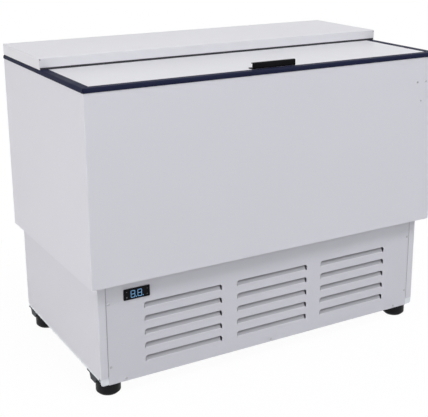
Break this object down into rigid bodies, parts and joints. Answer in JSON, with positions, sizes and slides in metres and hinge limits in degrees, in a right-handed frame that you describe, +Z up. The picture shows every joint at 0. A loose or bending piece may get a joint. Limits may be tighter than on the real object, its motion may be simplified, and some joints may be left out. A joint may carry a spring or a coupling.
{
  "type": "chest refrigerator",
  "caption": "Commercial chest refrigerator: insulated tank on a louvred machine base, with a lid that slides back under a fixed rear hood.",
  "frame": {"origin": "middle of the footprint, on the floor under the feet", "axes": "+X to the right along the front, +Y from the front to the back, +Z up"},
  "size_m": [1.153, 0.631, 0.904],
  "materials": {
    "cabinet_paint": "satin",
    "lid_paint": "satin",
    "insulation_foam": "matte",
    "liner_aluminium": "satin",
    "galvanised_sheet": "satin",
    "collar_plastic": "satin",
    "runner_nylon": "satin",
    "seal_rubber": "matte",
    "fastener_steel": "satin",
    "handle_black": "satin",
    "rack_coating": "gloss",
    "drain_plastic": "satin",
    "coil_aluminium": "satin",
    "evaporator_cover_paint": "satin",
    "motor_paint": "satin",
    "fan_aluminium": "satin",
    "bracket_paint": "matte",
    "bolt_black": "satin",
    "foot_plastic": "satin",
    "compressor_paint": "satin",
    "dark_plastic": "matte",
    "copper": "satin",
    "bezel_plastic": "satin",
    "display_plastic": "gloss",
    "key_rubber": "matte"
  },
  "bodies": {
    "cabinet": {"tank_wrap": "cabinet_paint", "tank_back_panel": "cabinet_paint", "hood_shell": "cabinet_paint", "side_panel_left": "cabinet_paint", "side_panel_right": "cabinet_paint", "rear_panel": "cabinet_paint", "front_panel": "cabinet_paint", "tank_foam": "insulation_foam", "hood_foam": "insulation_foam", "tank_liner": "liner_aluminium", "hood_lining": "liner_aluminium", "tank_floor_sheet": "galvanised_sheet", "base_pan": "galvanised_sheet", "condenser_shroud": "galvanised_sheet", "collar_front": "collar_plastic", "collar_left": "collar_plastic", "collar_right": "collar_plastic", "collar_rear": "collar_plastic", "lid_runner_left": "runner_nylon", "lid_runner_right": "runner_nylon", "hood_wiper": "seal_rubber", "compressor_grommets": "seal_rubber", "hood_screws": "fastener_steel", "panel_screws": "fastener_steel", "opener_inserts": "fastener_steel", "floor_rack": "rack_coating", "drain_pipe": "drain_plastic", "evaporator_coil": "coil_aluminium", "condenser_coil": "coil_aluminium", "evaporator_cover": "evaporator_cover_paint", "evaporator_fan_motor": "motor_paint", "condenser_fan_motor": "motor_paint", "foot_brackets": "bracket_paint", "bracket_bolts": "bolt_black", "compressor": "compressor_paint", "compressor_terminal_cover": "dark_plastic", "condensate_tray": "dark_plastic", "thermostat_case": "dark_plastic", "power_gland": "dark_plastic", "filter_drier": "copper", "refrigerant_tubes": "copper", "thermostat_bezel": "bezel_plastic", "display_window": "display_plastic"},
    "lid": {"lid_skin": "lid_paint", "lid_foam": "insulation_foam", "lid_lining": "liner_aluminium", "lid_glides": "runner_nylon", "lid_front_seal": "seal_rubber", "lid_handle": "handle_black", "handle_screws": "fastener_steel"},
    "condenser_fan": {"condenser_fan_blade": "fan_aluminium"},
    "evaporator_fan": {"evaporator_fan_blade": "fan_aluminium"},
    "key_upper_left": {"key_upper_left": "key_rubber"},
    "key_lower_left": {"key_lower_left": "key_rubber"},
    "key_upper_right": {"key_upper_right": "key_rubber"},
    "key_lower_right": {"key_lower_right": "key_rubber"},
    "foot_front_left": {"foot_front_left": "foot_plastic"},
    "foot_front_right": {"foot_front_right": "foot_plastic"},
    "foot_rear_left": {"foot_rear_left": "foot_plastic"},
    "foot_rear_right": {"foot_rear_right": "foot_plastic"}
  },
  "joints": [
    {"name": "lid_slide", "type": "slide", "parent": "cabinet", "child": "lid", "axis": [0, 1, 0], "range_m": [0, 0.258]},
    {"name": "condenser_fan_spin", "type": "hinge", "parent": "cabinet", "child": "condenser_fan", "pos_m": [-0.2, -0.18, 0.1775], "axis": [0, 1, 0], "continuous": true},
    {"name": "evaporator_fan_spin", "type": "hinge", "parent": "cabinet", "child": "evaporator_fan", "pos_m": [-0.3, 0.17, 0.7007], "axis": [0, 1, 0], "continuous": true},
    {"name": "key_upper_left_press", "type": "slide", "parent": "cabinet", "child": "key_upper_left", "axis": [0, 1, 0], "range_m": [0, 0.0006], "stiffness_N_per_m": 1500},
    {"name": "key_lower_left_press", "type": "slide", "parent": "cabinet", "child": "key_lower_left", "axis": [0, 1, 0], "range_m": [0, 0.0006], "stiffness_N_per_m": 1500},
    {"name": "key_upper_right_press", "type": "slide", "parent": "cabinet", "child": "key_upper_right", "axis": [0, 1, 0], "range_m": [0, 0.0006], "stiffness_N_per_m": 1500},
    {"name": "key_lower_right_press", "type": "slide", "parent": "cabinet", "child": "key_lower_right", "axis": [0, 1, 0], "range_m": [0, 0.0006], "stiffness_N_per_m": 1500},
    {"name": "foot_front_left_turn", "type": "hinge", "parent": "cabinet", "child": "foot_front_left", "pos_m": [-0.5105, -0.243, 0], "axis": [0, 0, 1], "range_deg": [0, 1800]},
    {"name": "foot_front_right_turn", "type": "hinge", "parent": "cabinet", "child": "foot_front_right", "pos_m": [0.5105, -0.243, 0], "axis": [0, 0, 1], "range_deg": [0, 1800]},
    {"name": "foot_rear_left_turn", "type": "hinge", "parent": "cabinet", "child": "foot_rear_left", "pos_m": [-0.5105, 0.251, 0], "axis": [0, 0, 1], "range_deg": [0, 1800]},
    {"name": "foot_rear_right_turn", "type": "hinge", "parent": "cabinet", "child": "foot_rear_right", "pos_m": [0.5105, 0.251, 0], "axis": [0, 0, 1], "range_deg": [0, 1800]}
  ]
}
